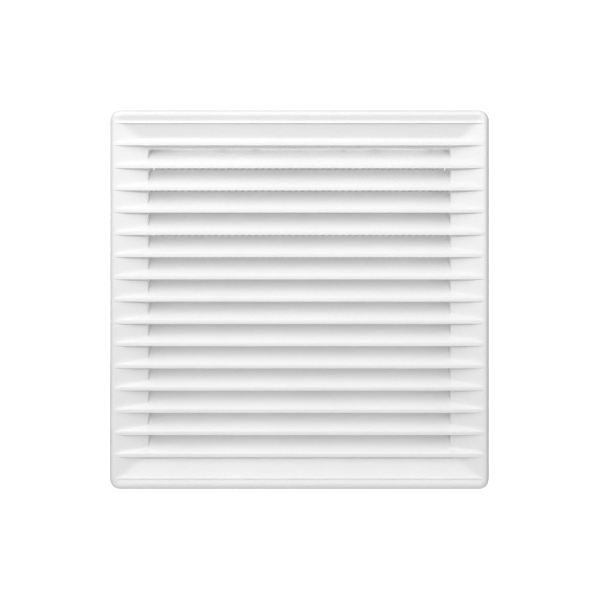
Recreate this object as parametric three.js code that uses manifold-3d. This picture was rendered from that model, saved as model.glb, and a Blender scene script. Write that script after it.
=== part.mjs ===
// Louvred wall grille, 171 mm square. A cover with fixed louvres and an insect screen pushes onto a wall frame,
// which four countersunk screws hold to the wall, so no fixing shows from the room.
// Millimetres, +Z up. The front faces -Y, the wall is the plane y = 0, and the origin is the centre of the wall face.
import * as THREE from "three";
import { mergeVertices } from "three/addons/utils/BufferGeometryUtils.js";
import Module from "manifold-3d";

const wasm = await Module();
wasm.setup();

// The cover
const SIDE = 171;
const STAND_OUT = 13; // from the wall to the louvre noses
const CORNER_RADIUS = 4.5;
const FRONT_FILLET = 2.3;
const WALL = 1.6;
const SKIRT_BACK = -0.4; // the skirt stops just short of the wall
const OPENING = 136.4;
const OPENING_RADIUS = 1.6;
const OPENING_WALL = 1.3;
const DISH_DEPTH = 2.57; // fall of the sloping face, from the fillet to the opening
const BEHIND = 5; // how far a cutting shape runs past the back of the cover

// The louvres
const PITCH = 10;
const LOUVRES = 17; // counting the two low ridges and the top lip, which open nothing
const NOSE_HEIGHT = 1.8;
const NOSE_DROP = 0.9; // the nose hangs this far below its pitch line
const LOUVRE_DEPTH = 9;
const LOUVRE_RISE = 8.5;
const SILL = -70; // height of the louvre that closes the bottom of the opening
const TOP_BLADE = 60;
const BOTTOM_BLADE = -60;
const ROOT = 0.3; // how far a ridge is sunk into the face it stands on
const GAP = 0.3; // between neighbouring pieces

// Ribs, pegs and pins on the back of the cover
const RIB_THICKNESS = 1.2;
const RIB_PLACES = [-60, -20, 20, 60];
const PEG = { across: 77.5, up: 40, radius: 2, tip: 1.4, tipLength: 1, back: -3 };
const PIN = { edge: 71.2, along: 35, radius: 1, bossRadius: 2.2, back: -2.75 };

// The insect screen
const SCREEN = { half: 73.5, radius: 4, front: -3.7, back: -2.7, bar: 1, columns: 44, rows: 3, hole: 1.3 };

// The wall frame
const FRAME = { half: 83.5, radius: 2.5, front: -2.2, opening: 68.5, openingRadius: 2, lip: 1.6, lipFront: -3.6 };
const SOCKET = { radius: 3.7, bore: 2.3, front: -8.5, slot: 1 };
const BOSS = { place: 78, radius: 4.8, front: -3.2, bore: 2 };

// The wall screws, 3.5 mm by 16 mm
const SCREW = { head: 3.5, edge: 0.3, shank: 1.6, front: -3.1, length: 16, point: 3 };
const CROSS = { width: 0.9, span: 3.8, depth: 1.4 };

const ARC_STEPS = 3; // half the flats in a quarter round
const ROUND_STEPS = 16;

const dishHalf = SIDE / 2 - FRONT_FILLET;
const openingHalf = OPENING / 2;
const dishSlope = DISH_DEPTH / (dishHalf - openingHalf);
const louvreBack = LOUVRE_DEPTH - STAND_OUT;
const tubeHalf = openingHalf + OPENING_WALL;
const skirtHalf = SIDE / 2 - WALL;
const mirrored = [-1, 1];

const alongX = new THREE.Matrix4().makeBasis(
  new THREE.Vector3(0, 1, 0), new THREE.Vector3(0, 0, 1), new THREE.Vector3(1, 0, 0));
const alongY = new THREE.Matrix4().makeBasis(
  new THREE.Vector3(1, 0, 0), new THREE.Vector3(0, 0, 1), new THREE.Vector3(0, -1, 0));

// A closed geometry as a solid that can be joined and cut.
function solid(geometry) {
  const bare = new THREE.BufferGeometry().setAttribute("position", geometry.getAttribute("position"));
  bare.setIndex(geometry.index);
  const merged = mergeVertices(bare, 1e-4);
  return new wasm.Manifold(new wasm.Mesh({
    numProp: 3,
    vertProperties: merged.attributes.position.array,
    triVerts: new Uint32Array(merged.index.array),
  }));
}

// A solid as a geometry.
function geometryOf(made) {
  const { vertProperties, triVerts } = made.getMesh();
  const geometry = new THREE.BufferGeometry();
  geometry.setAttribute("position", new THREE.BufferAttribute(vertProperties, 3));
  geometry.setIndex(new THREE.BufferAttribute(triVerts, 1));
  geometry.computeVertexNormals();
  return geometry;
}

// A square with round corners, seen from the front.
function roundedSquare(half, radius, path = new THREE.Shape()) {
  const inset = half - radius;
  for (let corner = 0; corner < 4; corner++) {
    const start = corner * Math.PI / 2;
    const towards = start + Math.PI / 4;
    path.absarc(Math.sign(Math.cos(towards)) * inset, Math.sign(Math.sin(towards)) * inset,
      radius, start, start + Math.PI / 2);
  }
  return path.closePath();
}

// A shape seen from the front, given thickness from one depth to another.
function plate(shape, front, back, more = {}) {
  const extruded = new THREE.ExtrudeGeometry(shape, {
    depth: back - front, bevelEnabled: false, curveSegments: ARC_STEPS, ...more,
  });
  return solid(extruded.applyMatrix4(alongY).translate(0, back, 0));
}

// A section of [y, z] points, run along X from one side of the middle to the other.
function bar(section, halfLength) {
  const shape = new THREE.Shape(section.map(([y, z]) => new THREE.Vector2(y, z)));
  const extruded = new THREE.ExtrudeGeometry(shape, { depth: 2 * halfLength, bevelEnabled: false });
  return solid(extruded.applyMatrix4(alongX).translate(-halfLength, 0, 0));
}

// A square pyramid cut off at both ends, lying along Y.
function pyramid(frontHalf, front, backHalf, back) {
  const made = new THREE.CylinderGeometry(backHalf * Math.SQRT2, frontHalf * Math.SQRT2, back - front, 4);
  return solid(made.rotateY(Math.PI / 4).translate(0, (front + back) / 2, 0));
}

function pin(x, z, front, back, frontRadius, backRadius = frontRadius) {
  const made = new THREE.CylinderGeometry(backRadius, frontRadius, back - front, ROUND_STEPS);
  return solid(made.translate(x, (front + back) / 2, z));
}

function block(x, z, width, height, front, back) {
  return solid(new THREE.BoxGeometry(width, back - front, height).translate(x, (front + back) / 2, z));
}

const join = (solids) => solids.reduce((all, next) => all.add(next));
const corners = (across, up) => mirrored.flatMap((i) => mirrored.map((j) => [i * across, j * up]));

// Half the width of the face's square outline at a depth behind the noses, and the same for its back, WALL deeper.
const faceHalf = (depth) => dishHalf - depth / dishSlope;
const openingColumn = (half) => plate(roundedSquare(half, OPENING_RADIUS), -STAND_OUT - BEHIND, BEHIND);

// Everything in front of the dished face sunk by an amount, down to well inside the opening.
function dish(sunk) {
  const outside = -1;
  const inside = DISH_DEPTH + 1;
  return pyramid(faceHalf(outside), outside + sunk - STAND_OUT, faceHalf(inside), inside + sunk - STAND_OUT);
}

function louvreSection(z) {
  const under = z - NOSE_DROP;
  return [
    [-STAND_OUT, under],
    [louvreBack, under + LOUVRE_RISE],
    [louvreBack, under + LOUVRE_RISE + NOSE_HEIGHT],
    [-STAND_OUT, under + NOSE_HEIGHT],
  ];
}

const louvre = (z, halfLength) => bar(louvreSection(z), halfLength);

// The same nose where it runs out over the face: solid down to the face, so that a mould can draw off it.
function ridge(z, halfLength) {
  const under = z - NOSE_DROP;
  const depth = DISH_DEPTH + 1;
  const top = under + NOSE_HEIGHT;
  return bar([
    [-STAND_OUT, under],
    [depth - STAND_OUT, under],
    [depth - STAND_OUT, top + depth * LOUVRE_RISE / LOUVRE_DEPTH],
    [-STAND_OUT, top],
  ], halfLength);
}

// The square shell: rounded front edge, skirt, and a plate of even thickness behind the dished face.
function coverShell() {
  const outer = plate(roundedSquare(SIDE / 2, CORNER_RADIUS), FRONT_FILLET - STAND_OUT, BEHIND, {
    bevelEnabled: true, bevelThickness: FRONT_FILLET, bevelSize: FRONT_FILLET,
    bevelOffset: -FRONT_FILLET, bevelSegments: 4,
  });
  const pastWall = block(0, 0, 2 * SIDE, 2 * SIDE, SKIRT_BACK, 3 * BEHIND);
  const cavityDepth = 1.4;
  const hollow = plate(roundedSquare(skirtHalf, CORNER_RADIUS - WALL), cavityDepth - STAND_OUT, BEHIND);
  const facePlate = dish(WALL / Math.cos(Math.atan(dishSlope)));
  return outer.subtract(pastWall).subtract(hollow.subtract(facePlate));
}

// The wall round the opening, and the ribs that tie it to the skirt.
function openingWall() {
  const front = DISH_DEPTH - STAND_OUT;
  const wall = plate(roundedSquare(tubeHalf, OPENING_RADIUS + OPENING_WALL), front, louvreBack);
  const length = skirtHalf - tubeHalf + 2 * ROOT;
  const middle = (skirtHalf + tubeHalf) / 2;
  const ribs = RIB_PLACES.flatMap((place) => mirrored.flatMap((side) => [
    block(side * middle, place, length, RIB_THICKNESS, ROOT - STAND_OUT, louvreBack),
    block(place, side * middle, RIB_THICKNESS, length, ROOT - STAND_OUT, louvreBack),
  ]));
  return join([wall, ...ribs]);
}

// Pegs that grip in the wall frame's sockets, and the pins that carry the insect screen.
function pegsAndPins() {
  const pegs = corners(PEG.across, PEG.up).flatMap(([x, z]) => [
    pin(x, z, 1 - STAND_OUT, PEG.back - PEG.tipLength, PEG.radius),
    pin(x, z, PEG.back - PEG.tipLength, PEG.back, PEG.radius, PEG.tip),
  ]);
  const pins = screenPins().flatMap(([x, z]) => [
    pin(x, z, DISH_DEPTH - STAND_OUT, louvreBack, PIN.bossRadius),
    pin(x, z, louvreBack - 1, PIN.back, PIN.radius),
  ]);
  return join([...pegs, ...pins]);
}

const screenPins = () => [...corners(PIN.edge, PIN.along), ...corners(PIN.along, PIN.edge)];

function frontFrame() {
  const heights = Array.from({ length: LOUVRES }, (_, i) => (i - (LOUVRES - 1) / 2) * PITCH);
  const taperEnd = 0.1; // a ridge stops just before its height runs out
  const ridges = join(heights.map((z) => ridge(z, dishHalf - taperEnd))).intersect(dish(ROOT));
  const sill = louvre(SILL, openingHalf + ROOT).intersect(openingColumn(openingHalf + ROOT));
  return coverShell()
    .add(openingWall())
    .add(pegsAndPins())
    .subtract(dish(0))
    .add(ridges)
    .subtract(openingColumn(openingHalf))
    .add(sill);
}

// The top louvre is cut short where it meets the top of the opening.
const louvreBlade = (z) => louvre(z, openingHalf).intersect(openingColumn(openingHalf - GAP));

// A rim with upright bars across its window, tied by a few level ones, and holes for the cover's pins.
function insectScreen() {
  const stick = (x, z, width, height) => block(x, z, width, height, SCREEN.front, SCREEN.back);
  const between = (count) => Array.from({ length: count - 1 }, (_, i) => (i + 1) * OPENING / count - openingHalf);
  const uprights = between(SCREEN.columns).map((x) => stick(x, 0, SCREEN.bar, OPENING));
  const ties = between(SCREEN.rows).map((z) => stick(0, z, OPENING, SCREEN.bar));
  const window = OPENING - SCREEN.bar;
  const holes = screenPins().map(([x, z]) => pin(x, z, SCREEN.front - 1, SCREEN.back + 1, SCREEN.hole));
  return plate(roundedSquare(SCREEN.half, SCREEN.radius), SCREEN.front, SCREEN.back)
    .subtract(block(0, 0, window, window, SCREEN.front - 1, SCREEN.back + 1))
    .subtract(join(holes))
    .add(join([...uprights, ...ties]));
}

// A flat frame with a low lip that steadies the skirt, split sockets for the pegs and countersunk screw bosses.
function wallFrame() {
  const outline = (half) => {
    const shape = roundedSquare(FRAME.half, FRAME.radius);
    shape.holes.push(roundedSquare(half, FRAME.openingRadius, new THREE.Path()));
    return shape;
  };
  const flat = plate(outline(FRAME.opening), FRAME.front, 0);
  const lip = plate(outline(FRAME.half - FRAME.lip), FRAME.lipFront, 0);
  const sockets = corners(PEG.across, PEG.up).map(([x, z]) => {
    const across = 3 * SOCKET.radius;
    return pin(x, z, SOCKET.front, FRAME.front + ROOT, SOCKET.radius)
      .subtract(pin(x, z, SOCKET.front - 1, FRAME.front, SOCKET.bore))
      .subtract(block(x, z, SOCKET.slot, across, SOCKET.front - 1, FRAME.front))
      .subtract(block(x, z, across, SOCKET.slot, SOCKET.front - 1, FRAME.front));
  });
  const places = corners(BOSS.place, BOSS.place);
  const bosses = places.map(([x, z]) => pin(x, z, BOSS.front, 0, BOSS.radius));
  const sinkDepth = 2;
  const sinkRadius = SCREW.head + SCREW.front - BOSS.front + GAP * Math.SQRT2;
  const holes = places.flatMap(([x, z]) => [
    pin(x, z, BOSS.front - 1, 1, BOSS.bore),
    pin(x, z, BOSS.front, BOSS.front + sinkDepth, sinkRadius, sinkRadius - sinkDepth),
  ]);
  return join([flat, lip, ...sockets, ...bosses]).subtract(join(holes));
}

// A countersunk wood screw, head towards the room, with a cross recess.
function wallScrew(x, z) {
  const cone = SCREW.head - SCREW.shank;
  const end = SCREW.front + SCREW.length;
  const profile = [
    [0, SCREW.front],
    [SCREW.head, SCREW.front],
    [SCREW.head, SCREW.front + SCREW.edge],
    [SCREW.shank, SCREW.front + SCREW.edge + cone],
    [SCREW.shank, end - SCREW.point],
    [0, end],
  ].map(([radius, y]) => new THREE.Vector2(radius, y));
  const body = solid(new THREE.LatheGeometry(profile, ROUND_STEPS).translate(x, 0, z));
  const from = SCREW.front - 1;
  const to = SCREW.front + CROSS.depth;
  return body
    .subtract(block(x, z, CROSS.width, CROSS.span, from, to))
    .subtract(block(x, z, CROSS.span, CROSS.width, from, to));
}

const plastic = { metalness: 0, roughness: 0.42 };
const materials = {
  cover: new THREE.MeshStandardMaterial({ color: 0xf1f1f0, ...plastic }),
  screen: new THREE.MeshStandardMaterial({ color: 0xe9e9e8, ...plastic, roughness: 0.5 }),
  frame: new THREE.MeshStandardMaterial({ color: 0xececea, ...plastic, roughness: 0.48 }),
  steel: new THREE.MeshStandardMaterial({ color: 0xb9bcc0, metalness: 1, roughness: 0.35 }),
};

function piece(name, made, material) {
  const mesh = new THREE.Mesh(geometryOf(made), material);
  mesh.name = name;
  return mesh;
}

const cover = new THREE.Group();
cover.add(piece("front_frame", frontFrame(), materials.cover));
for (let z = TOP_BLADE, number = 1; z >= BOTTOM_BLADE; z -= PITCH, number++) {
  cover.add(piece(`louvre_blade_${String(number).padStart(2, "0")}`, louvreBlade(z), materials.cover));
}
cover.add(piece("insect_screen", insectScreen(), materials.screen));

const fixed = new THREE.Group();
fixed.add(piece("wall_frame", wallFrame(), materials.frame));
corners(BOSS.place, BOSS.place).forEach(([x, z], i) => {
  fixed.add(piece(`wall_screw_${i + 1}`, wallScrew(x, z), materials.steel));
});

const grille = new THREE.Group();
grille.add(cover, fixed);
export default grille;
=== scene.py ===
"""A white moulded wall grille, 171 mm square: a dished cover with fixed louvres, an insect screen behind
them, and the screwed wall frame that the cover pushes onto.

Sizes are in millimetres inside the shape functions. A shape is worked out in a moulder's own coordinates, x
to the right, z up and d for the depth behind the louvre noses, and becomes metres in the shared frame in
place().
"""

import math
from itertools import product

import bmesh
import bpy
import numpy as np
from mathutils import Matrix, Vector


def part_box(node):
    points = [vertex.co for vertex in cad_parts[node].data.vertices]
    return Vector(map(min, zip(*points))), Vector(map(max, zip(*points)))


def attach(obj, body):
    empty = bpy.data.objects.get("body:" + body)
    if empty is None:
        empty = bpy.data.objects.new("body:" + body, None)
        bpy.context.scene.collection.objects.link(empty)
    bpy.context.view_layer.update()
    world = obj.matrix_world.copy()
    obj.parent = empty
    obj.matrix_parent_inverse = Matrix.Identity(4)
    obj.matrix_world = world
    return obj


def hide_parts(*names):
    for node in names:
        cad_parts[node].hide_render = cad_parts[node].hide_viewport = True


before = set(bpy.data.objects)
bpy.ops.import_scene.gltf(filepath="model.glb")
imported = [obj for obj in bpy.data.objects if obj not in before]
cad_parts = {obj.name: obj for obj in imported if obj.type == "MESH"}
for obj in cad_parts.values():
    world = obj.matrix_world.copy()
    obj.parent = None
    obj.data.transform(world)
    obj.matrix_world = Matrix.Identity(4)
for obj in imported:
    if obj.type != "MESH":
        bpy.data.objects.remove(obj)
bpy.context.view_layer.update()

MM = 0.001


def corners_of(node):
    """A CAD node's lowest and highest corners in millimetres."""
    return [np.array(corner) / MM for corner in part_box(node)]


# -------------------------------------------------- sizes, from the frame and the moulding's own rules
cover_low, cover_high = corners_of("front_frame")
blade_low, blade_high = corners_of("louvre_blade_02")
screen_low, screen_high = corners_of("insect_screen")
wall_frame_high = corners_of("wall_frame")[1]
screw_boxes = {f"wall_screw_{i}": corners_of(f"wall_screw_{i}") for i in range(1, 5)}

# The cover: a plan with round corners, a rounded front edge, and a face that falls evenly to the opening.
HALF = cover_high[0]
NOSE_PLANE = cover_low[1]
WALL_PLANE = -NOSE_PLANE
CORNER = 4.5
FILLET = 2.3
WALL = 1.6
FACE_HALF = HALF - FILLET
BLADE_GAP = 0.3
OPENING = blade_high[0] + BLADE_GAP
OPENING_CORNER = 1.6
OPENING_WALL = 1.3
DISH = 2.57
DISH_SLOPE = DISH / (FACE_HALF - OPENING)
ROLL = 0.6
SKIRT_GAP = 0.4
SKIRT_DEPTH = WALL_PLANE - SKIRT_GAP
EDGE = 0.25

# The opening's top wall leans up by HEAD_DRAFT for each millimetre of depth past HEAD_DRAFT_START.
HEAD_DRAFT = 0.5
HEAD_DRAFT_START = 3.2

# The louvres: heights are from a louvre's pitch line, and its nose runs from NOSE_FOOT to NOSE_HEAD.
PITCH = 10.0
RIDGE_HEIGHTS = PITCH * np.arange(-8, 9)
TOP_BLADE = 60.0
BLADES = 13
SILL = -70.0
NOSE_FOOT = -0.9
NOSE_HEAD = 0.9
NOSE_ROUND = 0.15
HEAD_ROUND = 0.2
LOUVRE_DEPTH = blade_high[1] - blade_low[1]
LOUVRE_RISE = 8.5
SLOPE = LOUVRE_RISE / LOUVRE_DEPTH
BEDDED = 0.2
UNDER_SKIN = 0.02

# The ridges that carry them over the face: the fillet where a slope meets the face, and the flute below a
# foot. Each ridge near the rim has a foot, a head and a flute's reach of its own.
VALLEY = 0.5
VALLEY_SHARE = 0.8
LEAST_WEDGE = 0.15
FLUTE = 0.3
FLUTE_WIDTH = 0.95
FLUTE_AT_RIM = 0.45
RIM_NOSES = {70.0: (-0.6, 0.9, 0.1), 80.0: (-0.65, -0.25, 0.3), -80.0: (-0.65, -0.3, 0.3)}

# How close the face's grid lines are.
ROLL_LINES = 8
SLOPE_COLUMNS = 20
OPENING_COLUMNS = 25
FIRST_ROW = 0.8

SHARP_ANGLE = 35.0
SOCKET_SHARP_ANGLE = 30.0
MERGE_DISTANCE = 1e-7


# -------------------------------------------------- making meshes
def place(points):
    """Moulder's (x, z, d) to the shared frame's (x, y, z), in metres: y is the nose plane plus d."""
    x, z, d = np.moveaxis(np.asarray(points, float), -1, 0)
    return np.stack([x, d + NOSE_PLANE, z], axis=-1).reshape(-1, 3) * MM


def solid_mesh(name, points, quads, triangles=None, sharp=SHARP_ANGLE):
    """A closed mesh from vertex places and index arrays, faces turned outwards and crisp edges kept."""
    triangles = np.zeros((0, 3), int) if triangles is None else triangles
    corners = np.concatenate([quads.ravel(), triangles.ravel()])
    sizes = np.concatenate([np.full(len(quads), 4), np.full(len(triangles), 3)])
    starts = np.concatenate([[0], np.cumsum(sizes)[:-1]])
    mesh = bpy.data.meshes.new(name)
    mesh.vertices.add(len(points))
    mesh.vertices.foreach_set("co", np.asarray(points, np.float32).ravel())
    mesh.loops.add(len(corners))
    mesh.loops.foreach_set("vertex_index", corners.astype(np.int32))
    mesh.polygons.add(len(sizes))
    mesh.polygons.foreach_set("loop_start", starts.astype(np.int32))
    mesh.update(calc_edges=True)
    work = bmesh.new()
    work.from_mesh(mesh)
    bmesh.ops.remove_doubles(work, verts=work.verts, dist=MERGE_DISTANCE)
    bmesh.ops.recalc_face_normals(work, faces=work.faces)
    work.to_mesh(mesh)
    work.free()
    mesh.shade_smooth()
    mesh.set_sharp_from_angle(angle=math.radians(sharp))
    return mesh


def add_piece(name, mesh, body, material, slot, *replaced):
    """The mesh as an object at the origin that rides on a CAD body, and stands for the CAD nodes named."""
    mesh.materials.append(material)
    piece = bpy.data.objects.new(name, mesh)
    bpy.context.scene.collection.objects.link(piece)
    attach(piece, body)
    if replaced:
        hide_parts(*replaced)
    return piece


def strip(first, second):
    """The quads between two closed loops of vertex numbers, of the same length."""
    return np.stack([first, np.roll(first, -1), np.roll(second, -1), second], axis=1)


def grid_quads(number):
    """The quads of a grid of vertex numbers, an array (rows - 1, columns - 1, 4)."""
    return np.stack([number[:-1, :-1], number[:-1, 1:], number[1:, 1:], number[1:, :-1]], axis=-1)


def lofts(rings):
    """Closed solids from stacks of closed rings, an array (solids, rings, points, 3), each capped by a
    middle point.

    The quads join each ring to the next, and each end ring fans to the mean of its points.
    """
    solids, layers, around, _ = rings.shape
    number = np.arange(solids * layers * around).reshape(solids, layers, around)
    onward = np.roll(number, -1, axis=2)
    quads = np.stack([number[:, :-1], onward[:, :-1], onward[:, 1:], number[:, 1:]], axis=-1).reshape(-1, 4)
    ends = rings[:, [0, -1]].mean(axis=2)
    middle = number.size + np.arange(2 * solids).reshape(solids, 2, 1)
    spread = np.broadcast_to(middle, (solids, 2, around))
    fans = np.stack([number[:, [0, -1]], onward[:, [0, -1]], spread], axis=-1)
    return np.concatenate([rings.reshape(-1, 3), ends.reshape(-1, 3)]), quads, fans.reshape(-1, 3)


class Skin:
    """A surface grown by closed rings of points, each joined to the loop before it."""

    def __init__(self, points, quads):
        self.points, self.quads, self.count = [points], [quads], len(points)

    def grow(self, loop, rings):
        """Joins rings on one after another from a loop of vertex numbers, and returns the last loop."""
        for ring in rings:
            onward = self.count + np.arange(len(ring))
            self.points.append(ring)
            self.quads.append(strip(loop, onward))
            self.count += len(ring)
            loop = onward
        return loop

    def close(self, loop):
        """Fans a last loop to the mean of its points, and returns the triangles."""
        ring = np.concatenate(self.points)[loop]
        self.points.append(ring.mean(axis=0)[None])
        self.count += 1
        return np.stack([loop, np.roll(loop, -1), np.full(len(loop), self.count - 1)], axis=1)

    def mesh(self, name, triangles):
        return solid_mesh(name, place(np.concatenate(self.points)), np.concatenate(self.quads), triangles)


def turned(centres, profile, around=40):
    """Solids of revolution about the depth axis, one at each (x, z) centre: the profile's (radius, depth)
    points carried round as rings.
    """
    turn = np.linspace(0, 2 * math.pi, around, endpoint=False)
    radius, depth = np.asarray(profile, float).T
    rings = np.empty((len(centres), len(radius), around, 3))
    centres = np.asarray(centres, float)
    rings[..., 0] = centres[:, 0, None, None] + radius[:, None] * np.cos(turn)
    rings[..., 1] = centres[:, 1, None, None] + radius[:, None] * np.sin(turn)
    rings[..., 2] = depth[:, None]
    return rings


def loops_round(rings):
    """The quads of closed tubes such as a washer: each ring joined to the next, the last to the first."""
    solids, layers, around, _ = rings.shape
    number = np.arange(solids * layers * around).reshape(solids, layers, around)
    onward, ahead = np.roll(number, -1, axis=2), np.roll(number, -1, axis=1)
    return np.stack([number, onward, np.roll(ahead, -1, axis=2), ahead], axis=-1).reshape(-1, 4)


def four_ways(across, up):
    """The four (x, z) places at this distance across and up, one in each quarter."""
    return [(i * across, j * up) for i in (-1, 1) for j in (-1, 1)]


# -------------------------------------------------- the square plan with round corners
class Plan:
    """Stations round a square plan, given by their places on a square of this half-width and corner radius.
    on() gives their places on any other rounded square: straight stations keep their share of the side, and
    corner stations keep their angle.
    """

    def __init__(self, x, z, half, radius):
        across, up = np.abs(x) - (half - radius), np.abs(z) - (half - radius)
        self.quarter = np.stack([np.sign(x), np.sign(z)], axis=1)
        self.corner = (across > 0) & (up > 0)
        most = np.maximum(np.maximum(across, up), 1e-9)
        turn = math.pi / 4
        angle = np.where(across >= up, turn * np.clip(up, 0, None) / most,
                         2 * turn - turn * np.clip(across, 0, None) / most)
        self.normal = np.stack([np.cos(angle), np.sin(angle)], axis=1) * self.quarter
        straight = np.stack([x, z], axis=1) / (half - radius)
        self.share = np.clip(straight, -1, 1)
        self.normal[~self.corner] = np.where(
            (across > up)[:, None], [1.0, 0.0], [0.0, 1.0])[~self.corner] * self.quarter[~self.corner]

    def on(self, half, radius, depth):
        """The stations' (x, z, depth) on the rounded square: share times the straight half, plus the radius
        along the normal.
        """
        flat = self.share * (half - radius) + self.normal * radius
        return np.concatenate([flat, np.broadcast_to(np.asarray(depth, float), len(flat))[:, None]], axis=1)


def round_corners(x, z, inset, reach, fade=0.0):
    """Bends each corner of a square grid to a quarter circle about (inset, inset).

    A point at (a, b) past the inset goes to radius s = max(a, b), at an angle that grows evenly along the
    square, and from s = reach the bend fades out over the next fade millimetres.
    """
    a, b = np.abs(x) - inset, np.abs(z) - inset
    inside = (a > 0) & (b > 0)
    s = np.maximum(np.maximum(a, b), 1e-9)
    angle = np.where(a >= b, math.pi / 4 * b / s, math.pi / 2 - math.pi / 4 * a / s)
    keep = np.clip((s - reach) / fade, 0, 1) if fade else 0.0
    bent_x = inset + (1 - keep) * s * np.cos(angle) + keep * a
    bent_z = inset + (1 - keep) * s * np.sin(angle) + keep * b
    return np.where(inside, np.sign(x) * bent_x, x), np.where(inside, np.sign(z) * bent_z, z)


# -------------------------------------------------- the dished face with its ridges
def dish_depth(across):
    """Depth of the face at half-width across: an even slope, then a quarter-round edge at the opening."""
    into_roll = np.clip((OPENING + ROLL - across) / ROLL, 0, 1)
    return DISH_SLOPE * (FACE_HALF - across) + ROLL * (1 - np.sqrt(1 - into_roll**2))


def nose_of(ridge):
    """Heights of a ridge's foot and of its nose's upper edge above the pitch line, and how far below the
    foot its flute reaches. The ridges near the rim are narrow.
    """
    return RIM_NOSES.get(float(ridge), (NOSE_FOOT, NOSE_HEAD, FLUTE_WIDTH))


def nose_depth(t, foot=NOSE_FOOT, head=NOSE_HEAD):
    """Depth of a louvre's front at height t above its pitch line: a small round at the foot, a flat nose,
    then the slope, with the bend between them eased as half of (u + sqrt(u^2 + c^2)).
    """
    from_foot = np.clip(NOSE_ROUND - (t - foot), 0, NOSE_ROUND)
    rounded = NOSE_ROUND - np.sqrt(NOSE_ROUND**2 - from_foot**2)
    past = t - head
    return rounded + (past + np.sqrt(past**2 + HEAD_ROUND**2)) / 2 / SLOPE


def soft_min(a, b, width):
    """The smaller of two depths, with the valley between them filled by a parabola of the given width."""
    blend = np.clip(width - np.abs(a - b), 0, None)
    return np.minimum(a, b) - blend**2 / (4 * width)


def wedge_height(x, ridge):
    """How far above its nose a ridge's slope meets the face: the lesser of the rise to the face's depth at
    column x and the rise to its depth at that height.
    """
    column = np.maximum(np.abs(x), OPENING)
    beside = SLOPE * dish_depth(column)
    rise = SLOPE * DISH_SLOPE
    sign = 1 if ridge > 0 else -1
    above = rise * (FACE_HALF - sign * (ridge + nose_of(ridge)[1])) / (1 + sign * rise)
    return np.maximum(np.minimum(beside, above), LEAST_WEDGE)


def rolled_lines():
    """Grid lines over the opening's rolled edge: closest at the opening, where the roll is steepest."""
    return OPENING + ROLL * (1 - np.cos(np.linspace(0, math.pi / 2, ROLL_LINES)))


def face_rows(x):
    """Heights of the face's grid lines at each column x, an array (rows, columns).

    Every ridge has lines in its flute, over its foot, on its nose and up its slope. The slope's lines
    follow wedge_height, so that the crease where a ridge dies into the face is a grid line, and one of the
    sill's is the opening's lower edge. Plain lines fill the rest of the pitch.
    """
    under = -np.array([1.0, 0.85, 0.65, 0.45, 0.25, 0.08, 0.004])
    rounded = np.array([0.002, 0.03, 0.08, NOSE_ROUND, NOSE_ROUND + 0.03])
    flat = np.linspace(0.3, 0.95, 6)
    sill_edge = (-OPENING - SILL - NOSE_HEAD) / wedge_height(np.array([0.0]), SILL)[0]
    shares = np.sort([0.0, 0.04, 0.09, 0.17, 0.3, 0.46, 0.65, 0.78, 0.88, 0.96, 1.04, 1.12, 1.25, sill_edge])
    plain = np.array([0.25, 0.5, 0.75])[:, None]
    rows = [np.full_like(x, -FACE_HALF)[None], np.full_like(x, -FACE_HALF + FIRST_ROW)[None]]
    for ridge in RIDGE_HEIGHTS:
        foot, head, flute = nose_of(ridge)
        fixed = ridge + foot + np.concatenate([flute * under, rounded, flat * (head - foot)])
        rows.append(np.broadcast_to(fixed[:, None], (len(fixed), len(x))))
        slope = ridge + head + shares[:, None] * wedge_height(x, ridge)
        rows.append(slope)
        if ridge == TOP_BLADE:
            end = OPENING
        elif ridge == RIDGE_HEIGHTS[-1]:
            end = FACE_HALF
        else:
            next_foot, _, next_flute = nose_of(ridge + PITCH)
            end = ridge + PITCH + next_foot - next_flute
        rows.append(slope[-1] * (1 - plain) + end * plain)
        if ridge == TOP_BLADE:
            rows.append(np.broadcast_to(rolled_lines()[:, None], (ROLL_LINES, len(x))))
    rows.append(np.full_like(x, FACE_HALF)[None])
    return np.concatenate(rows)


def face_columns():
    """Columns of the face's grid: close over the rolled edge, even over the slope, wide at the opening."""
    slope = np.linspace(OPENING + ROLL, FACE_HALF, SLOPE_COLUMNS)[1:]
    side = np.concatenate([rolled_lines(), slope])
    across = np.linspace(-OPENING, OPENING, OPENING_COLUMNS)[1:-1]
    return np.concatenate([-side[::-1], across, side])


def face_depth(x, z):
    """Depth of the finished face: the dish, or a ridge that stands in front of it, with filleted valleys.

    A flute below each foot goes deeper than the dish. It deepens evenly from its lower edge to the foot,
    where it is FLUTE times the root of the dish's share of its full depth, and it is narrower towards the
    rim.
    """
    dish = dish_depth(np.maximum(np.maximum(np.abs(x), np.abs(z)), OPENING))
    depth = dish
    valley = np.clip(VALLEY_SHARE * dish, 1e-3, VALLEY)
    for ridge in RIDGE_HEIGHTS:
        foot, head, flute = nose_of(ridge)
        t = z - ridge
        own = (t > foot) & (t < PITCH + NOSE_FOOT - FLUTE_WIDTH)
        depth = np.where(own, soft_min(dish, nose_depth(t, foot, head), valley), depth)
        reach = flute * (FLUTE_AT_RIM + (1 - FLUTE_AT_RIM) * dish / DISH)
        ramp = np.clip(1 - (foot - t) / reach, 0, 1) * (flute / FLUTE_WIDTH)
        depth = np.where((t <= foot) & (t > foot - flute), dish + FLUTE * np.sqrt(dish / DISH) * ramp, depth)
    return np.maximum(depth, 0)


def back_depth(across):
    """Depth of the back of the face plate, which keeps the same wall thickness."""
    return DISH_SLOPE * (FACE_HALF - across) + WALL * math.hypot(1, DISH_SLOPE)


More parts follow.
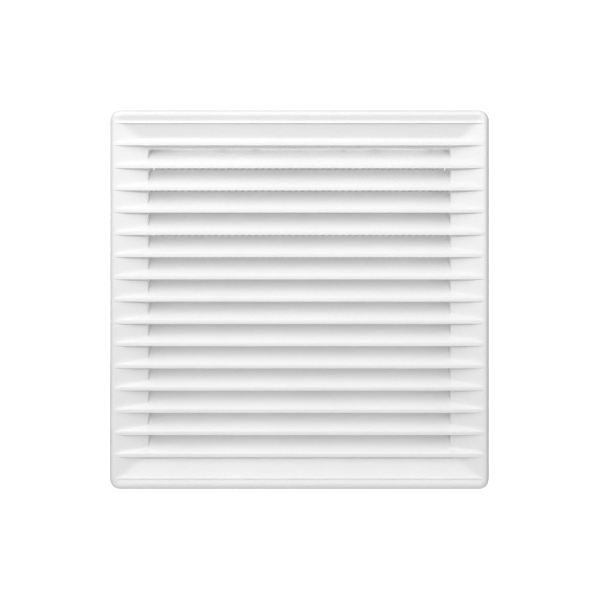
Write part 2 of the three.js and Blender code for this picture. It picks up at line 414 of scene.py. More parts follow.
def zip_loops(first, second, first_at, second_at, length):
    """Triangles between two closed loops with different numbers of points.

    Each loop's points have a place along a common perimeter. Walking both together, every step forward on one
    loop makes a triangle with the point last reached on the other.
    """
    first_next = np.append(first_at[1:], first_at[0] + length)
    second_next = np.append(second_at[1:], second_at[0] + length)
    reached_second = np.searchsorted(second_next, first_next, side="left") % len(second)
    reached_first = np.searchsorted(first_next, second_next, side="right") % len(first)
    along_first = np.stack([first, np.roll(first, -1), second[reached_second]], axis=1)
    along_second = np.stack([second, first[reached_first], np.roll(second, -1)], axis=1)
    return np.concatenate([along_first, along_second])


def perimeter_places(plan, half, radius):
    """A plan's stations as shares of the way round a rounded square, anticlockwise from its bottom left."""
    points = plan.on(half, radius, 0)[:, :2]
    steps = np.linalg.norm(np.diff(points, axis=0), axis=1)
    length = steps.sum() + np.linalg.norm(points[0] - points[-1])
    return np.concatenate([[0], np.cumsum(steps)]) / length


def leaning(points):
    """The points with the opening's top wall leaning up as it goes back, nearly along the louvres."""
    share = np.clip((points[:, 1] - OPENING + OPENING_CORNER) / OPENING_CORNER, 0, 1)
    lean = HEAD_DRAFT * np.clip(points[:, 2] - HEAD_DRAFT_START, 0, None) * share
    return points + np.column_stack([np.zeros_like(lean), lean, np.zeros_like(lean)])


def cover_moulding():
    """The cover without its free louvres, as one closed surface.

    The front is a grid over the face with a square hole. From its outer border, rings go round the front
    edge, down the skirt, back up inside it and across the back of the face plate. From the hole's border,
    rings go down the opening's wall and back up outside it. A zipped strip joins the two behind the plate.
    """
    x = face_columns()
    z = face_rows(x)
    x = np.broadcast_to(x, z.shape)
    flat_x, flat_z = round_corners(x, z, FACE_HALF - (CORNER - FILLET), CORNER - FILLET)
    flat_x, flat_z = round_corners(flat_x, flat_z, OPENING - OPENING_CORNER, OPENING_CORNER, OPENING_CORNER)
    face = np.stack([flat_x, flat_z, face_depth(x, z)], axis=-1).reshape(-1, 3)
    number = np.arange(z.size).reshape(z.shape)

    middle = z.shape[1] // 2
    tiny = 1e-6
    bottom = int(np.argmax(z[:, middle] > -OPENING - tiny))
    top = int(np.argmax(z[:, middle] > OPENING - tiny))
    left = int(np.argmax(x[0] > -OPENING - tiny))
    right = int(np.argmax(x[0] > OPENING - tiny))
    cells = np.ones((z.shape[0] - 1, z.shape[1] - 1), bool)
    cells[bottom:top, left:right] = False
    quads = grid_quads(number)[cells]

    def border(low, high, first, last):
        """Vertex numbers round a block of the grid, anticlockwise from its bottom left."""
        return np.concatenate([number[low, first:last], number[low:high, last],
                               number[high, last:first:-1], number[high:low:-1, first]])

    outer = border(0, z.shape[0] - 1, 0, z.shape[1] - 1)
    inner = border(bottom, top, left, right)
    outer_plan = Plan(x.ravel()[outer], z.ravel()[outer], FACE_HALF, CORNER - FILLET)
    inner_plan = Plan(x.ravel()[inner], z.ravel()[inner], OPENING, OPENING_CORNER)
    skin = Skin(face, quads)

    bends = np.linspace(0, math.pi / 2, 9)[1:]
    bevel = 0.3 * EDGE
    inside = HALF - WALL
    inside_corner = CORNER - WALL
    skirt = [outer_plan.on(HALF - FILLET * (1 - math.sin(b)), CORNER - FILLET * (1 - math.sin(b)),
                           FILLET * (1 - math.cos(b))) for b in bends]
    skirt += [outer_plan.on(HALF, CORNER, SKIRT_DEPTH - EDGE),
              outer_plan.on(HALF - bevel, CORNER, SKIRT_DEPTH - bevel),
              outer_plan.on(HALF - EDGE, CORNER - EDGE, SKIRT_DEPTH),
              outer_plan.on(inside + EDGE, inside_corner + EDGE, SKIRT_DEPTH),
              outer_plan.on(inside, inside_corner, SKIRT_DEPTH - EDGE),
              outer_plan.on(inside, inside_corner, back_depth(inside) + 3 * EDGE),
              outer_plan.on(inside - bevel, inside_corner, back_depth(inside) + EDGE)]
    tube = OPENING + OPENING_WALL
    tube_corner = OPENING_CORNER + OPENING_WALL
    foot_fillet = 0.8
    mid_plate = 76.0
    skirt += [outer_plan.on(half, inside_corner, back_depth(half)) for half in (inside - 3 * EDGE, mid_plate)]
    skirt += [outer_plan.on(tube + foot_fillet, tube_corner + foot_fillet, back_depth(tube + foot_fillet))]
    behind_plate = skin.grow(outer, skirt)
    down_the_wall = (4.2, 6.5)
    wall = [inner_plan.on(OPENING, OPENING_CORNER, np.maximum(face[inner, 2], depth))
            for depth in down_the_wall]
    wall += [inner_plan.on(OPENING, OPENING_CORNER, LOUVRE_DEPTH - EDGE),
             inner_plan.on(OPENING + EDGE, OPENING_CORNER + EDGE, LOUVRE_DEPTH),
             inner_plan.on(tube - EDGE, tube_corner - EDGE, LOUVRE_DEPTH),
             inner_plan.on(tube, tube_corner, LOUVRE_DEPTH - EDGE),
             inner_plan.on(tube, tube_corner, back_depth(tube) + foot_fillet)]
    behind_tube = skin.grow(inner, [leaning(ring) for ring in wall])
    zipped = zip_loops(behind_plate, behind_tube, perimeter_places(outer_plan, tube, tube_corner),
                       perimeter_places(inner_plan, tube, tube_corner), 1.0)
    return skin.mesh("cover_moulding", zipped)


# -------------------------------------------------- ribs, pegs and pins behind the cover's face
RIB_PLACES = (-60.0, -20.0, 20.0, 60.0)
RIB_SUNK = 0.3
PEG_ACROSS, PEG_UP, PEG_RADIUS, PEG_TIP, PEG_END = 77.5, 40.0, 2.0, 1.3, 10.0
PEG_FILLET, PEG_LEAD_IN, PEG_SUNK = 0.8, 1.0, 0.1
PIN_EDGE, PIN_ALONG, PIN_RADIUS, PIN_BOSS, PIN_HEAD = 71.2, 35.0, 1.0, 1.4, 1.7
BOSS_ROOT = 4.0


def cover_ribs():
    """Sixteen drafted ribs from the opening's wall to the skirt: a section that narrows towards its rounded
    free edge, carried straight across. Its foot follows the back of the face plate.
    """
    root, free, bulb = 0.72, 0.5, 0.3
    across = np.linspace(OPENING + OPENING_WALL - RIB_SUNK, HALF - WALL + RIB_SUNK, 7)
    turn = np.linspace(0, math.pi / 2, 5)
    depth = LOUVRE_DEPTH - bulb + bulb * np.sin(turn)
    half = free - bulb + bulb * np.cos(turn)
    edge = np.concatenate([np.column_stack([half, depth]), np.column_stack([-half[::-1], depth[::-1]])])
    section = np.empty((len(across), len(edge) + 2, 2))
    section[:, :-2] = edge
    for corner, width in ((-2, -root), (-1, root)):
        section[:, corner, 0] = width
        section[:, corner, 1] = back_depth(across) - RIB_SUNK
    ribs = []
    for along, way, upright in product(RIB_PLACES, (-1, 1), (False, True)):
        run = np.broadcast_to((way * across)[:, None], section.shape[:2])
        beside = along + section[..., 0]
        flat = [beside, run] if upright else [run, beside]
        ribs.append(np.stack([*flat, section[..., 1]], axis=-1))
    points, quads, fans = lofts(np.array(ribs))
    return solid_mesh("cover_ribs", place(points), quads, fans)


def grip_pegs():
    """Four round pegs with a filleted root and a lead-in at the tip."""
    root = back_depth(PEG_ACROSS) - PEG_SUNK
    foot = [(PEG_RADIUS + PEG_FILLET * (1 - math.sin(t)), root + PEG_FILLET * (1 - math.cos(t)))
            for t in np.linspace(0, math.pi / 2, 5)]
    shoulder, ease = PEG_END - PEG_LEAD_IN, 0.1
    tip = [(PEG_RADIUS, shoulder - ease), (PEG_RADIUS - 0.08, shoulder + ease),
           (PEG_TIP + 0.15, PEG_END - 0.12), (PEG_TIP, PEG_END)]
    points, quads, fans = lofts(turned(four_ways(PEG_ACROSS, PEG_UP), foot + tip))
    return solid_mesh("grip_pegs", place(points), quads, fans)


def screen_rivets():
    """Eight bosses that the screen stands off on, each with a pin through the screen and its melted, domed
    head. The dome's radius falls as the cosine and its height rises as the sine of the same angle.
    """
    places = four_ways(PIN_EDGE, PIN_ALONG) + four_ways(PIN_ALONG, PIN_EDGE)
    ease, flat, rise, almost_upright = 0.2, 0.05, 0.3, 1.45
    seat = screen_high[1] - NOSE_PLANE
    boss = [(PIN_BOSS, BOSS_ROOT), (PIN_BOSS, LOUVRE_DEPTH - ease), (PIN_BOSS - ease, LOUVRE_DEPTH),
            (PIN_RADIUS, LOUVRE_DEPTH)]
    pin = [(PIN_RADIUS, seat - 0.02), (PIN_HEAD - 0.1, seat - 0.02)]
    dome = [(PIN_HEAD * math.cos(t), seat + flat + rise * math.sin(t))
            for t in np.linspace(0, almost_upright, 8)]
    points, quads, fans = lofts(turned(places, boss + pin + dome))
    return solid_mesh("screen_rivets", place(points), quads, fans)


# -------------------------------------------------- louvres
def louvre_section():
    """A louvre's closed outline in (height above its pitch line, depth): up the nose and the slope, round
    the back edge, and down the underside.
    """
    round_foot = NOSE_FOOT + NOSE_ROUND * (1 - np.cos(np.linspace(0, math.pi / 2, 6)))
    nose = [NOSE_FOOT + NOSE_ROUND + 0.03, -0.3, 0.3, 0.6]
    bend = [0.7, 0.8, 0.9, 1.0, 1.1, 1.25, 1.45, 1.8]
    slope = [3.0, 5.0, 7.0]
    rise = np.concatenate([round_foot, nose, bend, slope])
    front = np.stack([rise, nose_depth(rise)], axis=1)
    top = NOSE_HEAD + LOUVRE_RISE
    under = NOSE_FOOT + LOUVRE_RISE
    rear = np.array([[top - EDGE * SLOPE, LOUVRE_DEPTH - EDGE], [top - 0.05, LOUVRE_DEPTH - 0.1],
                     [top - 0.2, LOUVRE_DEPTH], [under + 0.2, LOUVRE_DEPTH],
                     [under + 0.03, LOUVRE_DEPTH - 0.05], [under - EDGE * SLOPE, LOUVRE_DEPTH - EDGE]])
    underside = np.array([[NOSE_FOOT + SLOPE * depth, depth] for depth in (6.0, 3.0, 1.2)])
    return np.concatenate([front, rear, underside])


def louvre(height):
    """A louvre on a pitch line of this height: its section carried straight across the opening, bedded in
    the side walls at both ends, and a hair behind the cover's own skin.
    """
    section = louvre_section()
    across = np.linspace(-1, 1, 9) * (OPENING + BEDDED)
    rings = np.empty((1, len(across), len(section), 3))
    rings[..., 0] = across[:, None]
    rings[..., 1] = height + section[:, 0]
    rings[..., 2] = section[:, 1] + UNDER_SKIN
    points, quads, fans = lofts(rings)
    return solid_mesh("louvre", place(points), quads, fans)


# -------------------------------------------------- insect screen
CELLS = 46
CELL_PITCH = 3.068
SCREEN_BAR = 1.0
SCREEN_CORNER = 4.0


def insect_screen():
    """A moulded mesh of square holes in a plain rim, as one closed surface.

    Each cell is the same tile: a square hole with its corners cut and its edges eased, inside the cell's
    square border. The tile's rings are laid on every cell at once, and the rim's rings go round the
    outermost borders.
    """
    pitch = CELL_PITCH
    field = CELLS * pitch / 2
    front, back = screen_low[1] - NOSE_PLANE, screen_high[1] - NOSE_PLANE
    hole = (pitch - SCREEN_BAR) / 2
    cut, ease, edge = 0.25, 0.22, 0.2
    around = np.array([[1, -1], [1, 0], [1, 1], [0, 1], [-1, 1], [-1, 0], [-1, -1], [0, -1]], float)

    def outline(half, depth):
        """Eight points of a square hole: the sides' middles, and the corners cut in by cut."""
        corner = (np.abs(around).sum(axis=1) == 2)[:, None]
        return np.column_stack([around * np.where(corner, half - cut, half), np.full(len(around), depth)])

    def cell(depth):
        """Eight points of the cell's square border."""
        return np.column_stack([around * pitch / 2, np.full(len(around), depth)])

    tile = np.stack([cell(front), outline(hole + ease, front), outline(hole, front + ease),
                     outline(hole, back - ease), outline(hole + ease, back), cell(back)])
    centres = (np.arange(CELLS) - (CELLS - 1) / 2) * pitch
    middle = np.stack(np.meshgrid(centres, centres, [0.0], indexing="ij"), axis=-1).reshape(-1, 1, 1, 3)
    rings = middle + tile
    number = np.arange(CELLS**2 * tile.shape[0] * tile.shape[1]).reshape(-1, *tile.shape[:2])
    onward = np.roll(number, -1, axis=2)
    quads = np.stack([number[:, :-1], onward[:, :-1], onward[:, 1:], number[:, 1:]], axis=-1).reshape(-1, 4)

    steps = (np.arange(2 * CELLS) / CELLS - 1) * field
    side = np.full(2 * CELLS, field)
    border = np.concatenate([np.column_stack([steps, -side]), np.column_stack([side, steps]),
                             np.column_stack([-steps, side]), np.column_stack([-side, -steps])])
    plan = Plan(border[:, 0], border[:, 1], field + 1e-3, 2 * pitch)
    rim_half = screen_high[0]
    square = np.column_stack([border, np.full(len(border), front)])
    rim = [square,
           plan.on(rim_half - edge, SCREEN_CORNER - edge, front),
           plan.on(rim_half, SCREEN_CORNER, front + edge),
           plan.on(rim_half, SCREEN_CORNER, back - edge),
           plan.on(rim_half - edge, SCREEN_CORNER - edge, back),
           square + [0, 0, back - front]]
    loops = number.size + np.arange(len(rim) * len(border)).reshape(len(rim), -1)
    rim_quads = [strip(first, second) for first, second in zip(loops, loops[1:])]
    points = np.concatenate([rings.reshape(-1, 3), *rim])
    return solid_mesh("insect_screen", place(points), np.concatenate([quads, *rim_quads]))


# -------------------------------------------------- wall frame
FRAME_HALF = wall_frame_high[0]
FRAME_CORNER = 2.5
FRAME_OPENING = 68.5
FRAME_FRONT = WALL_PLANE - 2.2
LIP_FRONT = WALL_PLANE - 3.6
LIP_WIDTH = 1.6
SOCKET_RADIUS, SOCKET_BORE, SOCKET_SLOT = 3.7, 2.3, 1.0
SCREW_BOSS, SCREW_BORE = 4.8, 2.0
BOSS_FRONT = WALL_PLANE - 3.2
SINK_RADIUS = 3.8
SOCKET_LENGTH = 8.5


def cut_holes(mesh, centres, radius):
    """The mesh with straight round holes right through it in depth."""
    past = 3.0
    profile = [(radius, FRAME_FRONT - past), (radius, WALL_PLANE + past)]
    points, quads, fans = lofts(turned(centres, profile))
    body = bpy.data.objects.new("body", mesh)
    drill = bpy.data.objects.new("drill", solid_mesh("drill", place(points), quads, fans))
    for made in (body, drill):
        bpy.context.scene.collection.objects.link(made)
    cut = body.modifiers.new("cut", "BOOLEAN")
    cut.object, cut.operation, cut.solver = drill, "DIFFERENCE", "EXACT"
    holed = bpy.data.meshes.new_from_object(body.evaluated_get(bpy.context.evaluated_depsgraph_get()))
    holed.name = mesh.name
    for made in (body, drill):
        bpy.data.objects.remove(made)
    holed.shade_smooth()
    holed.set_sharp_from_angle(angle=math.radians(SHARP_ANGLE))
    return holed


def frame_ring(screw_places):
    """The flat frame with its low lip: one eased section carried round a square with round corners, then
    drilled for the screws.
    """
    side = np.linspace(-1, 1, 30, endpoint=False) * FRAME_HALF
    level = np.full_like(side, FRAME_HALF)
    plan = Plan(np.concatenate([side, level, -side, -level]), np.concatenate([-level, side, level, -side]),
                FRAME_HALF, 2 * FRAME_CORNER)
    out, lip, hole = FRAME_HALF, FRAME_HALF - LIP_WIDTH, FRAME_OPENING
    section = [(out, WALL_PLANE - EDGE), (out, LIP_FRONT + EDGE), (out - EDGE, LIP_FRONT),
               (lip + EDGE, LIP_FRONT), (lip, LIP_FRONT + EDGE), (lip, FRAME_FRONT - EDGE),
               (lip - EDGE, FRAME_FRONT), (hole + EDGE, FRAME_FRONT), (hole, FRAME_FRONT + EDGE),
               (hole, WALL_PLANE - EDGE), (hole + EDGE, WALL_PLANE), (out - EDGE, WALL_PLANE)]
    rings = np.stack([plan.on(half, FRAME_CORNER, depth) for half, depth in section])[None]
    ring = solid_mesh("wall_frame_ring", place(rings), loops_round(rings))
    return cut_holes(ring, screw_places, SCREW_BORE)


def peg_sockets():
    """Split sockets: each is four sectors of a tube, with a lead-in at the mouth and a wide eased foot. A
    sector is a (radius, depth) section carried through an arc, from one slot's edge to the next.
    """
    mouth, foot = WALL_PLANE - SOCKET_LENGTH, FRAME_FRONT + 0.2
    flare, splay, lead_in = 0.5, 1.0, 0.6
    section = np.array([(SOCKET_RADIUS + flare, foot), (SOCKET_RADIUS, foot - splay),
                        (SOCKET_RADIUS, mouth + EDGE), (SOCKET_RADIUS - EDGE, mouth),
                        (SOCKET_BORE + flare, mouth), (SOCKET_BORE, mouth + lead_in), (SOCKET_BORE, foot)])
    margin = np.arcsin(SOCKET_SLOT / 2 / section[:, 0])
    arc = margin + np.linspace(0, 1, 13)[:, None] * (math.pi / 2 - 2 * margin)
    rings = []
    for (x, z), quarter in product(four_ways(PEG_ACROSS, PEG_UP), range(4)):
        turn = quarter * math.pi / 2 + arc
        rings.append(np.stack([x + section[:, 0] * np.cos(turn), z + section[:, 0] * np.sin(turn),
                               np.broadcast_to(section[:, 1], turn.shape)], axis=-1))
    points, quads, fans = lofts(np.array(rings))
    return solid_mesh("peg_sockets", place(points), quads, fans, sharp=SOCKET_SHARP_ANGLE)


def screw_bosses(screw_places):
    """Low round bosses with a countersunk bore: a section of (radius, depth) carried right round."""
    ease, flare, relief, sink = 0.3, 0.4, 0.1, SINK_RADIUS - SCREW_BORE
    root = FRAME_FRONT + 0.1
    profile = [(SCREW_BOSS + flare, root), (SCREW_BOSS, FRAME_FRONT - flare), (SCREW_BOSS, BOSS_FRONT + ease),
               (SCREW_BOSS - ease, BOSS_FRONT), (SINK_RADIUS, BOSS_FRONT), (SCREW_BORE, BOSS_FRONT + sink),
               (SCREW_BORE - 0.01, WALL_PLANE - 0.3), (SCREW_BORE + relief, WALL_PLANE - 0.2),
               (SCREW_BORE + relief, root)]
    rings = turned(screw_places, profile)
    return solid_mesh("screw_bosses", place(rings), loops_round(rings))


# -------------------------------------------------- screws
def wall_screw(low, high):
    """A countersunk wood screw with a cross recess and a rolled thread.

    The head's top is a square grid sunk where it lies in either arm of the cross. From the grid's border,
    rings go out to the round rim, down the cone, and along the shank. The thread's radius is the core's
    plus a ridge that peaks once a turn: height times 1 - |4 phase - 2|, where phase is the fraction of
    depth / pitch - turn.
    """
    middle = (low + high) / 2
    head_radius = (high[0] - low[0]) / 2
    top, end = low[1] - NOSE_PLANE, high[1] - NOSE_PLANE
    arm, span, sunk, slant, slope = 0.45, 1.9, 1.4, 0.03, 0.35
    core, ridge, pitch, plain, point = 1.15, 0.5, 1.45, 1.6, 3.6
    half_lines = [0.22, arm - slant, arm + slant, 0.9, 1.4, span - slant, span + slant, 2.15]
    lines = np.array([-v for v in half_lines[::-1]] + [0.0] + half_lines)
    x, z = np.meshgrid(lines, lines, indexing="xy")
    in_arm = [(np.abs(p) <= arm) & (np.abs(q) <= span) for p, q in ((x, z), (z, x))]
    taper = sunk - slope * np.maximum(np.abs(x), np.abs(z))
    grid = np.stack([x, z, top + np.where(in_arm[0] | in_arm[1], taper, 0)], axis=-1).reshape(-1, 3)
    number = np.arange(x.size).reshape(x.shape)
    quads = grid_quads(number).reshape(-1, 4)
    loop = np.concatenate([number[0, :-1], number[:-1, -1], number[-1, :0:-1], number[:0:-1, 0]])
    square = grid[loop, :2]
    turn = np.arctan2(square[:, 1], square[:, 0])
    circle = np.stack([np.cos(turn), np.sin(turn)], axis=1)

    def ring(radius, depth, round_share=1.0):
        """A ring from the grid's square border, at a round share of 0, to a circle of the radius, at 1."""
        flat = square * (1 - round_share) + circle * np.broadcast_to(radius, len(turn))[:, None] * round_share
        return np.column_stack([flat, np.full(len(turn), depth)])

    skin = Skin(grid, quads)
    rim, ease, neck, throat = 0.3, 0.12, 0.2, 0.4
    cone = head_radius - core - neck
    under_head = top + rim + cone
    rings = [ring(head_radius - ease, top, share) for share in (0.5, 1.0)]
    rings += [ring(head_radius, top + ease), ring(head_radius, top + rim), ring(core + neck, under_head),
              ring(core, under_head + throat)]
    start = under_head + plain
    rings.append(ring(core, start))
    layer, first, last, taper_power, run_out = 0.11, 0.1, 0.05, 0.7, 0.8
    for depth in np.arange(start + first, end - last, layer):
        narrowing = min(1.0, (end - depth) / point) ** taper_power
        rise = min(1.0, (depth - start) / pitch) * min(1.0, (end - depth) / run_out)
        phase = (depth / pitch - turn / (2 * math.pi)) % 1
        rings.append(ring(core * narrowing + ridge * rise * np.clip(1 - np.abs(4 * phase - 2), 0, 1), depth))
    tip = skin.grow(loop, rings)
    fans = skin.close(tip)
    skin.points = [part + [middle[0], middle[2], 0] for part in skin.points]
    return skin.mesh("wall_screw", fans)


# -------------------------------------------------- materials
def node(tree, kind, **values):
    """A shader node with its sockets, by name, or its own settings filled in."""
    made = tree.nodes.new(kind)
    for key, value in values.items():
        if key in made.inputs:
            made.inputs[key].default_value = value
        else:
            setattr(made, key, value)
    return made


def moulded_plastic(name, colour, roughness, grain_mm, grain):
    """White moulded plastic: a spark-eroded grain in the bump, roughness that varies with it, and a faint
    uneven tint across the moulding where the melt ran.
    """
    mottle, flow_scale, gloss_spread, grain_depth, plastic_ior = 0.012, 22.0, 0.05, 0.02 * MM, 1.5
    material = bpy.data.materials.new(name)
    material.use_nodes = True
    tree = material.node_tree
    shader = tree.nodes["Principled BSDF"]
    link = tree.links.new
    place_at = node(tree, "ShaderNodeTexCoord")
    flow = node(tree, "ShaderNodeTexNoise", Scale=flow_scale, Detail=2.0)
    fine = node(tree, "ShaderNodeTexNoise", Scale=1 / (grain_mm * MM), Detail=3.0, Roughness=0.55)
    for texture in (flow, fine):
        link(place_at.outputs["Object"], texture.inputs["Vector"])
    tint = node(tree, "ShaderNodeValToRGB")
    for stop, position, change in zip(tint.color_ramp.elements, (0.3, 0.7), (-mottle, mottle)):
        stop.position = position
        stop.color = (*(min(channel * (1 + change), 1) for channel in colour), 1)
    link(flow.outputs["Fac"], tint.inputs["Fac"])
    link(tint.outputs["Color"], shader.inputs["Base Color"])
    gloss = node(tree, "ShaderNodeMapRange")
    gloss.inputs["To Min"].default_value = roughness - gloss_spread
    gloss.inputs["To Max"].default_value = roughness + gloss_spread
    link(fine.outputs["Fac"], gloss.inputs["Value"])
    link(gloss.outputs["Result"], shader.inputs["Roughness"])
    bump = node(tree, "ShaderNodeBump", Strength=grain, Distance=grain_depth)
    link(fine.outputs["Fac"], bump.inputs["Height"])
    link(bump.outputs["Normal"], shader.inputs["Normal"])
    shader.inputs["IOR"].default_value = plastic_ior
    return material


def zinc_steel():
    """Bright zinc plate over steel: uneven grey, a little yellow where it is dull, and uneven in gloss."""
    dull, bright = (0.50, 0.50, 0.49, 1), (0.74, 0.75, 0.76, 1)
    smoothest, roughest = 0.22, 0.42
    material = bpy.data.materials.new("bright_zinc")
    material.use_nodes = True
    tree = material.node_tree
    shader = tree.nodes["Principled BSDF"]
    link = tree.links.new
    place_at = node(tree, "ShaderNodeTexCoord")
    cloud = node(tree, "ShaderNodeTexNoise", Scale=900.0, Detail=4.0)
    link(place_at.outputs["Object"], cloud.inputs["Vector"])
    tint = node(tree, "ShaderNodeValToRGB")
    tint.color_ramp.elements[0].color = dull
    tint.color_ramp.elements[1].color = bright
    link(cloud.outputs["Fac"], tint.inputs["Fac"])
    link(tint.outputs["Color"], shader.inputs["Base Color"])
    gloss = node(tree, "ShaderNodeMapRange")
    gloss.inputs["To Min"].default_value = smoothest
    gloss.inputs["To Max"].default_value = roughest
    link(cloud.outputs["Fac"], gloss.inputs["Value"])
    link(gloss.outputs["Result"], shader.inputs["Roughness"])
    shader.inputs["Metallic"].default_value = 1.0
    return material


cover_plastic = moulded_plastic("cover_plastic", (0.95, 0.95, 0.948), 0.28, grain_mm=0.5, grain=0.25)
screen_plastic = moulded_plastic("screen_plastic", (0.88, 0.88, 0.877), 0.5, grain_mm=0.3, grain=0.3)
frame_plastic = moulded_plastic("frame_plastic", (0.86, 0.86, 0.852), 0.48, grain_mm=0.6, grain=0.4)
steel = zinc_steel()

# -------------------------------------------------- putting the grille together
screw_places = [tuple(((low + high) / 2)[[0, 2]]) for low, high in screw_boxes.values()]
add_piece("cover_moulding", cover_moulding(), "cover", cover_plastic, "cover_plastic", "front_frame")
add_piece("sill_louvre", louvre(SILL), "cover", cover_plastic, "cover_plastic", "front_frame")
for order in range(BLADES):
    add_piece(f"louvre_{order + 1:02d}", louvre(TOP_BLADE - order * PITCH), "cover", cover_plastic,
              "cover_plastic", f"louvre_blade_{order + 1:02d}")
add_piece("insect_mesh", insect_screen(), "cover", screen_plastic, "screen_plastic", "insect_screen")
add_piece("cover_ribs", cover_ribs(), "cover", cover_plastic, "cover_plastic", "front_frame")
add_piece("grip_pegs", grip_pegs(), "cover", cover_plastic, "cover_plastic", "front_frame")
add_piece("screen_rivets", screen_rivets(), "cover", cover_plastic, "cover_plastic", "front_frame")
add_piece("wall_frame_ring", frame_ring(screw_places), "wall_frame", frame_plastic, "frame_plastic",
          "wall_frame")
add_piece("peg_sockets", peg_sockets(), "wall_frame", frame_plastic, "frame_plastic", "wall_frame")
add_piece("screw_bosses", screw_bosses(screw_places), "wall_frame", frame_plastic, "frame_plastic",
          "wall_frame")
for name, (low, high) in screw_boxes.items():
    add_piece(f"{name}_steel", wall_screw(low, high), "wall_frame", steel, "screw_steel", name)


# -------------------------------------------------- camera, stage and light
CAMERA_DISTANCE = 480.0
CAMERA_ACROSS, CAMERA_UP = 0.27, -0.13
VIEW_WIDTH = 269.8
SENSOR = 36.0

ROUND_A_SQUARE = ((-1, -1), (1, -1), (1, 1), (-1, 1))
FLOOR_REACH, FLOOR_HEIGHT = 1.5, -0.6
FLOOR_COLOUR, FLOOR_GLOW = 0.85, 0.2
# The duct patch is painted shade and light: its grey glow stands for the dim space seen through the screen,
# and it lights the louvres from behind.
DUCT_HALF, DUCT_BEHIND_WALL = 67.0 * MM, 0.001
PAINTED_DUCT_GLOW = 0.4
SURROUNDINGS_SEEN, SURROUNDINGS_CAST = 1.1, 0.08

# Softboxes: place, aim, width, height and power. Two of them are hidden between the louvres and the screen.
BEHIND_LOUVRES = (NOSE_PLANE + LOUVRE_DEPTH + 0.15) * MM
SOFTBOXES = {
    "overhead": ((-0.12, -0.5, 0.68), (0, 0, 0), 1.0, 0.9, 5.75),
    "front_fill": ((-0.1, -1.45, 0.35), (0, 0, 0), 1.2, 0.7, 7.1),
    "glow_within": ((0, BEHIND_LOUVRES, 0), (0, -1, 0), 0.142, 0.142, 0.016),
    "glow_above": ((0, BEHIND_LOUVRES, 0.0703), (0, -0.010, 0.066), 0.141, 0.0018, 0.0013),
    "wall_side": ((-0.9, 1.3, 0.35), (0, 0, 0), 1.0, 1.0, 9.0),
}


def camera():
    """Straight on to the face, a fraction of a millimetre off its centre, with the lens that shows
    VIEW_WIDTH at the nose plane.
    """
    data = bpy.data.cameras.new("camera")
    data.sensor_width = SENSOR
    data.lens = SENSOR * CAMERA_DISTANCE / VIEW_WIDTH
    data.clip_start, data.clip_end = 0.01, 30
    made = bpy.data.objects.new("camera", data)
    made.location = (CAMERA_ACROSS * MM, (NOSE_PLANE - CAMERA_DISTANCE) * MM, CAMERA_UP * MM)
    made.rotation_euler = (math.pi / 2, 0, 0)
    bpy.context.scene.collection.objects.link(made)
    bpy.context.scene.camera = made


def plain_white(name, colour, glow):
    """A matt white of one grey level that glows a little."""
    material = bpy.data.materials.new(name)
    material.use_nodes = True
    shader = material.node_tree.nodes["Principled BSDF"]
    shader.inputs["Base Color"].default_value = (colour, colour, colour, 1)
    shader.inputs["Roughness"].default_value = 0.9
    shader.inputs["Emission Color"].default_value = (1, 1, 1, 1)
    shader.inputs["Emission Strength"].default_value = glow
    return material


def one_sided_painted_glow():
    """Painted shade and light: a soft grey glow on the front of a surface, whose back can be seen through. It
    shows through the screen as the shade behind it and lights the louvres from behind.
    """
    material = bpy.data.materials.new("painted_duct_shade")
    material.use_nodes = True
    tree = material.node_tree
    tree.nodes.clear()
    out = tree.nodes.new("ShaderNodeOutputMaterial")
    mix = tree.nodes.new("ShaderNodeMixShader")
    grey = node(tree, "ShaderNodeEmission", Color=(1, 1, 1, 1), Strength=PAINTED_DUCT_GLOW)
    clear = tree.nodes.new("ShaderNodeBsdfTransparent")
    side = tree.nodes.new("ShaderNodeNewGeometry")
    tree.links.new(side.outputs["Backfacing"], mix.inputs["Fac"])
    tree.links.new(grey.outputs["Emission"], mix.inputs[1])
    tree.links.new(clear.outputs["BSDF"], mix.inputs[2])
    tree.links.new(mix.outputs["Shader"], out.inputs["Surface"])
    return material


def stage_sheet(name, corners, material):
    """One flat sheet for the surroundings, on none of the grille's bodies."""
    mesh = bpy.data.meshes.new(name)
    mesh.from_pydata(corners, [], [(0, 1, 2, 3)])
    made = bpy.data.objects.new(name, mesh)
    made.data.materials.append(material)
    bpy.context.scene.collection.objects.link(made)


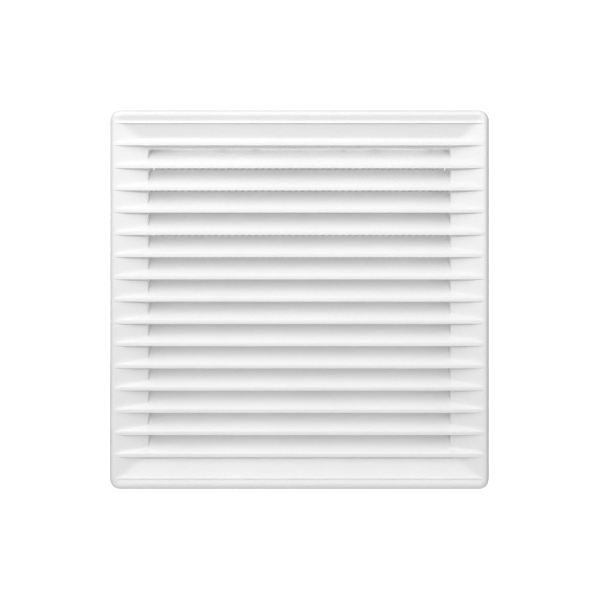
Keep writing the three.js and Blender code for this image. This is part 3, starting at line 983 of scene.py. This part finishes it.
def floor():
    """A plain pale floor well below the grille."""
    corners = [(x * FLOOR_REACH, y * FLOOR_REACH, FLOOR_HEIGHT) for x, y in ROUND_A_SQUARE]
    stage_sheet("floor", corners, plain_white("floor", FLOOR_COLOUR, FLOOR_GLOW))


def painted_duct_shade():
    """Painted shade: a grey glowing patch in the wall's opening, seen only from the room side, that stands
    for the dim space behind the screen. Its glow also lights the louvres from behind.
    """
    corners = [(x * DUCT_HALF, DUCT_BEHIND_WALL, z * DUCT_HALF) for x, z in ROUND_A_SQUARE]
    stage_sheet("painted_duct_shade", corners, one_sided_painted_glow())


def softbox(name, place_at, aim, width, height, power):
    """A rectangular studio light, facing aim and unseen by the camera."""
    data = bpy.data.lights.new(name, "AREA")
    data.shape = "RECTANGLE"
    data.size, data.size_y = width, height
    data.energy = power
    made = bpy.data.objects.new(name, data)
    made.location = place_at
    away = np.array(aim, float) - np.array(place_at, float)
    made.rotation_euler = (math.atan2(math.hypot(away[0], away[1]), -away[2]), 0,
                           math.atan2(away[1], away[0]) - math.pi / 2)
    made.visible_camera = False
    bpy.context.scene.collection.objects.link(made)


def studio():
    """White surroundings for the camera, which cast only a faint even light, and five softboxes.

    One large softbox stands above the grille, in front of it and a little to the left, a second fills in
    from the room, and a third lights the wall side. The two small ones behind the louvres stand for the
    light that comes through the white plastic: one over the whole opening, and a strip along its top.
    """
    world = bpy.data.worlds.new("studio")
    bpy.context.scene.world = world
    world.use_nodes = True
    tree = world.node_tree
    tree.nodes.clear()
    link = tree.links.new
    seen = node(tree, "ShaderNodeBackground", Color=(1, 1, 1, 1), Strength=SURROUNDINGS_SEEN)
    cast = node(tree, "ShaderNodeBackground", Color=(1, 1, 1, 1), Strength=SURROUNDINGS_CAST)
    path = tree.nodes.new("ShaderNodeLightPath")
    mix = tree.nodes.new("ShaderNodeMixShader")
    out = tree.nodes.new("ShaderNodeOutputWorld")
    link(path.outputs["Is Camera Ray"], mix.inputs["Fac"])
    link(cast.outputs["Background"], mix.inputs[1])
    link(seen.outputs["Background"], mix.inputs[2])
    link(mix.outputs["Shader"], out.inputs["Surface"])
    for name, (place_at, aim, width, height, power) in SOFTBOXES.items():
        softbox(name, place_at, aim, width, height, power)


camera()
floor()
painted_duct_shade()
studio()
bpy.context.scene.view_settings.view_transform = "Standard"
